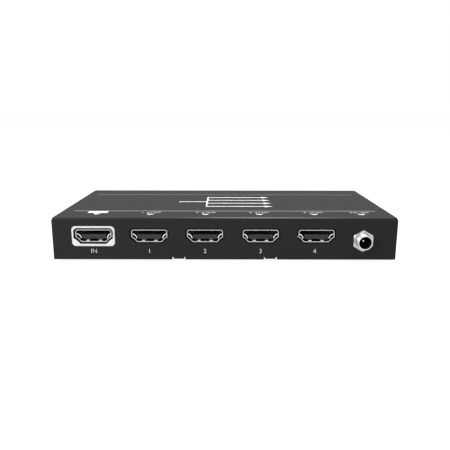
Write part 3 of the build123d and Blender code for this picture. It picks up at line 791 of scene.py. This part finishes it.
# Labels under the sockets
for name, words, across, shift, thinning in zip(
    sockets, label_words, socket_places, label_shifts, label_thinnings
):
    centre = (across + shift, cover_low.z + label_rise)
    letters = lettering(words, label_height, centre, thinning=thinning)
    printed(f"label_{name}", letters, on_front, white_ink)

# Two thin lines across the top
lines = bmesh.new()
rectangle(lines, line_length, front_line_width, (0, front_face + front_line_depth))
rectangle(lines, line_length, rear_line_width, (0, front_face + rear_line_depth))
printed("top_lines", lines, on_top, grey_ink)

# Arrow that points to the input socket
arrow = bmesh.new()
polygon(
    arrow,
    [
        (socket_places[0], front_face + arrow_tip),
        (socket_places[0] + arrow_width / 2, front_face + arrow_base),
        (socket_places[0] - arrow_width / 2, front_face + arrow_base),
    ],
)
printed("input_arrow", arrow, on_top, pale_ink)



def bow(across, reach, turns):
    """Points of an arc that bows this far towards the port side."""
    base = front_face + crescent_base
    return [(across + crescent_width / 2 * sin(turn), base - reach * cos(turn)) for turn in turns]


# Crescents that point to the outputs and the jack
mark_places = [place + shift for place, shift in zip([*socket_places, jack_place], mark_shifts)]
outer_reach = crescent_base - crescent_tip
inner_reach = outer_reach - crescent_thickness
half_circle = [pi * (step / crescent_steps - 0.5) for step in range(crescent_steps + 1)]
crescents = bmesh.new()
for across in mark_places[1:]:
    outer = bow(across, outer_reach, half_circle)
    inner = bow(across, inner_reach, half_circle[1:-1])
    polygon(crescents, outer + inner[::-1])
printed("top_crescents", crescents, on_top, white_ink)

# White tag by the input's arrow
tag = bmesh.new()
tag_centre = (socket_places[0] + tag_shift, front_face + tag_middle)
rounded_rectangle(tag, tag_width, tag_depth, tag_corner, tag_centre)
printed("input_tag", tag, on_top, white_ink)

# Plain diagram in the middle of the top: one line that parts into arrows
diagram = bmesh.new()
half_stroke = diagram_stroke / 2
bus_left = diagram_left + diagram_stem
bus_right = bus_left + diagram_bus
head_start = diagram_right - arrow_head
branches = [
    front_face + diagram_front + diagram_pitch * index for index in range(diagram_branches)
]
middle = (branches[0] + branches[-1]) / 2
points = [
    (diagram_left, middle - half_stroke),
    (bus_left, middle - half_stroke),
    (bus_left, branches[0] - half_stroke),
]
for branch in branches:
    if branch != branches[0]:
        points.append((bus_right, branch - half_stroke))
    points += [
        (head_start, branch - half_stroke),
        (head_start, branch - arrow_head / 2),
        (diagram_right, branch),
        (head_start, branch + arrow_head / 2),
        (head_start, branch + half_stroke),
    ]
    if branch != branches[-1]:
        points.append((bus_right, branch + half_stroke))
points += [
    (bus_left, branches[-1] + half_stroke),
    (bus_left, middle + half_stroke),
    (diagram_left, middle + half_stroke),
]
polygon(diagram, points)
printed("split_diagram", diagram, on_top, white_ink)

# Small plain words by the marks, which read from the rear; the first lies on the tag
for index, (words, across) in enumerate(zip(small_words, mark_places)):
    on_tag = index == 0
    letter_height = tag_letter_height if on_tag else small_letter_height
    letters = lettering(words, letter_height, (0, 0), level=ink if on_tag else 0.0)
    bmesh.ops.transform(letters, matrix=read_from_rear, verts=letters.verts)
    centre = (across, front_face + small_letter_depth, 0)
    bmesh.ops.translate(letters, verts=letters.verts, vec=centre)
    printed(f"small_letters_{index}", letters, on_top, dark_ink if on_tag else pale_ink)

# Noses of the contacts, bent over the tongues' front edges
noses = bmesh.new()
for name, place in zip(sockets, socket_places):
    tongue_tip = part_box(f"{name}_core")[0].y
    contact_low, contact_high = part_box(f"{name}_contacts")
    start, level = contact_low.y, contact_high.z
    tongue_level = level - nose_sheet - tongue_thickness / 2
    side = [
        (start, level - nose_sheet),
        (start, level),
        (tongue_tip + tongue_round, level),
        (tongue_tip, level - tongue_round),
        (tongue_tip, level - nose_sheet - tongue_round),
        (tongue_tip + tongue_round, level - nose_sheet),
    ]
    for count, turned in ((upper_contacts, 1), (lower_contacts, -1)):
        outline = [(y, tongue_level + turned * (z - tongue_level)) for y, z in side]
        for index in range(count):
            left = place + (index - (count - 1) / 2) * contact_pitch - contact_width / 2
            face = noses.faces.new([noses.verts.new((left, y, z)) for y, z in outline])
            push(noses, [face], (contact_width, 0, 0))
piece("contact_noses", noses, finishes["contact_gold"])


def turn_on_jack(shape, profile, segments, closed):
    """Spins a profile of (radius, depth) round the jack's axis, which runs along Y."""
    verts = [shape.verts.new((jack_place + radius, depth, jack_level)) for radius, depth in profile]
    followers = verts[1:] + (verts[:1] if closed else [])
    edges = [shape.edges.new(pair) for pair in zip(verts, followers)]
    bmesh.ops.spin(
        shape,
        geom=verts + edges,
        cent=(jack_place, 0, jack_level),
        axis=(0, 1, 0),
        angle=tau,
        steps=segments,
        use_merge=True,
    )


def cut_thread(shape, start, end):
    """Sinks a helical thread into the barrel's outside between two depths."""
    near = 0.01 * MM
    for vert in shape.verts:
        x, z = vert.co.x - jack_place, vert.co.z - jack_level
        radius = hypot(x, z)
        on_outside = abs(radius - barrel_radius) < near
        if on_outside and start + near < vert.co.y < end - near:
            turn = (vert.co.y / thread_pitch + atan2(z, x) / tau) % 1.0
            kept = 1 - thread_depth * (1 - abs(2 * turn - 1)) / radius
            vert.co.x = jack_place + x * kept
            vert.co.z = jack_level + z * kept


# Jack barrel with its thread
thread_start = barrel_low.y + rim_chamfer
thread_end = barrel_high.y - flange_thickness
thread_step = (thread_end - thread_start) / thread_steps
barrel = bmesh.new()
profile = [
    (bore_radius, barrel_low.y + rim_chamfer / 2),
    (bore_radius + rim_chamfer / 2, barrel_low.y),
    (barrel_radius - rim_chamfer, barrel_low.y),
    *[(barrel_radius, thread_start + thread_step * step) for step in range(thread_steps + 1)],
    (flange_radius, thread_end),
    (flange_radius, barrel_high.y),
    (bore_radius, barrel_high.y),
]
turn_on_jack(barrel, profile, barrel_segments, closed=True)
cut_thread(barrel, thread_start, thread_end)
barrel_piece = piece("jack_barrel_threaded", barrel, bore_shaded_nickel)
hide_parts("dc_jack_barrel")

# Jack pin with a round end
pin_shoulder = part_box("dc_jack_body")[0].y + shoulder_depth
dome = [pi / 2 * step / dome_steps for step in range(1, dome_steps + 1)]
pin = bmesh.new()
profile = [
    (0.0, pin_low.y),
    *[(pin_radius * sin(turn), pin_low.y + pin_radius * (1 - cos(turn))) for turn in dome],
    (pin_radius, pin_shoulder),
    (tail_radius, pin_shoulder),
    (tail_radius, pin_high.y),
    (0.0, pin_high.y),
]
turn_on_jack(pin, profile, pin_segments, closed=False)
pin_piece = piece("jack_pin_round", pin, pin_nickel, smooth=True)
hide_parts("dc_jack_pin")


def shows_white(tree):
    """A mask of the rays that see the stage itself: direct, in gloss, or through clear pieces."""
    rays = put(tree, "ShaderNodeLightPath").outputs
    seen = arithmetic(tree, "MAXIMUM", rays["Is Camera Ray"], rays["Is Glossy Ray"])
    return arithmetic(tree, "MAXIMUM", seen, rays["Is Transmission Ray"])


def softbox(name, place, target, size, power):
    """A rectangular lamp aimed at a point."""
    lamp = bpy.data.lights.new(name, "AREA")
    lamp.shape = "RECTANGLE"
    lamp.size, lamp.size_y = size
    lamp.energy = power
    holder = bpy.data.objects.new(name, lamp)
    bpy.context.scene.collection.objects.link(holder)
    holder.location = place
    holder.rotation_euler = (Vector(target) - Vector(place)).to_track_quat("-Z", "Y").to_euler()


# Stage: a white floor that keeps a faint shadow
floor_shape = bmesh.new()
bmesh.ops.create_grid(floor_shape, x_segments=2, y_segments=2, size=floor_half)
floor_mesh = bpy.data.meshes.new("floor")
floor_shape.to_mesh(floor_mesh)
floor_shape.free()
floor = bpy.data.objects.new("floor", floor_mesh)
bpy.context.scene.collection.objects.link(floor)
floor_paper = bpy.data.materials.new("floor_paper")
floor_paper.use_nodes = True
tree = floor_paper.node_tree
tree.nodes.clear()
glow = arithmetic(tree, "MULTIPLY", shows_white(tree), floor_glow)
paper = put(tree, "ShaderNodeBsdfDiffuse", {"Color": (floor_grey, floor_grey, floor_grey, 1)})
light = put(tree, "ShaderNodeEmission", None, {"Strength": glow})
both = put(tree, "ShaderNodeAddShader", None, {0: paper.outputs[0], 1: light.outputs[0]})
put(tree, "ShaderNodeOutputMaterial", None, {"Surface": both.outputs[0]})
floor_mesh.materials.append(floor_paper)

# White surroundings that light the object only a little
world = bpy.data.worlds.new("studio")
bpy.context.scene.world = world
world.use_nodes = True
tree = world.node_tree
tree.nodes.clear()
strength = arithmetic(tree, "MULTIPLY_ADD", shows_white(tree), world_seen, world_light)
sky = put(tree, "ShaderNodeBackground", {"Color": (1, 1, 1, 1)}, {"Strength": strength})
put(tree, "ShaderNodeOutputWorld", None, {"Surface": sky.outputs[0]})

for name, (place, target, size, power) in lamps.items():
    softbox(name, place, target, size, power)

# Camera
view = bpy.data.cameras.new("camera")
view.sensor_width = sensor_width
view.lens = focal_pixels / image_pixels * sensor_width
view.clip_start = nearest_seen
view.clip_end = farthest_seen
camera = bpy.data.objects.new("camera", view)
bpy.context.scene.collection.objects.link(camera)
yaw = Matrix.Rotation(camera_yaw, 3, "Z")
tilt = Matrix.Rotation(camera_tilt, 3, "X")
roll = Matrix.Rotation(camera_roll, 3, "Z")
camera.location = camera_place
camera.rotation_euler = (yaw @ tilt @ roll).to_euler()
bpy.context.scene.camera = camera
bpy.context.scene.view_settings.view_transform = "Standard"
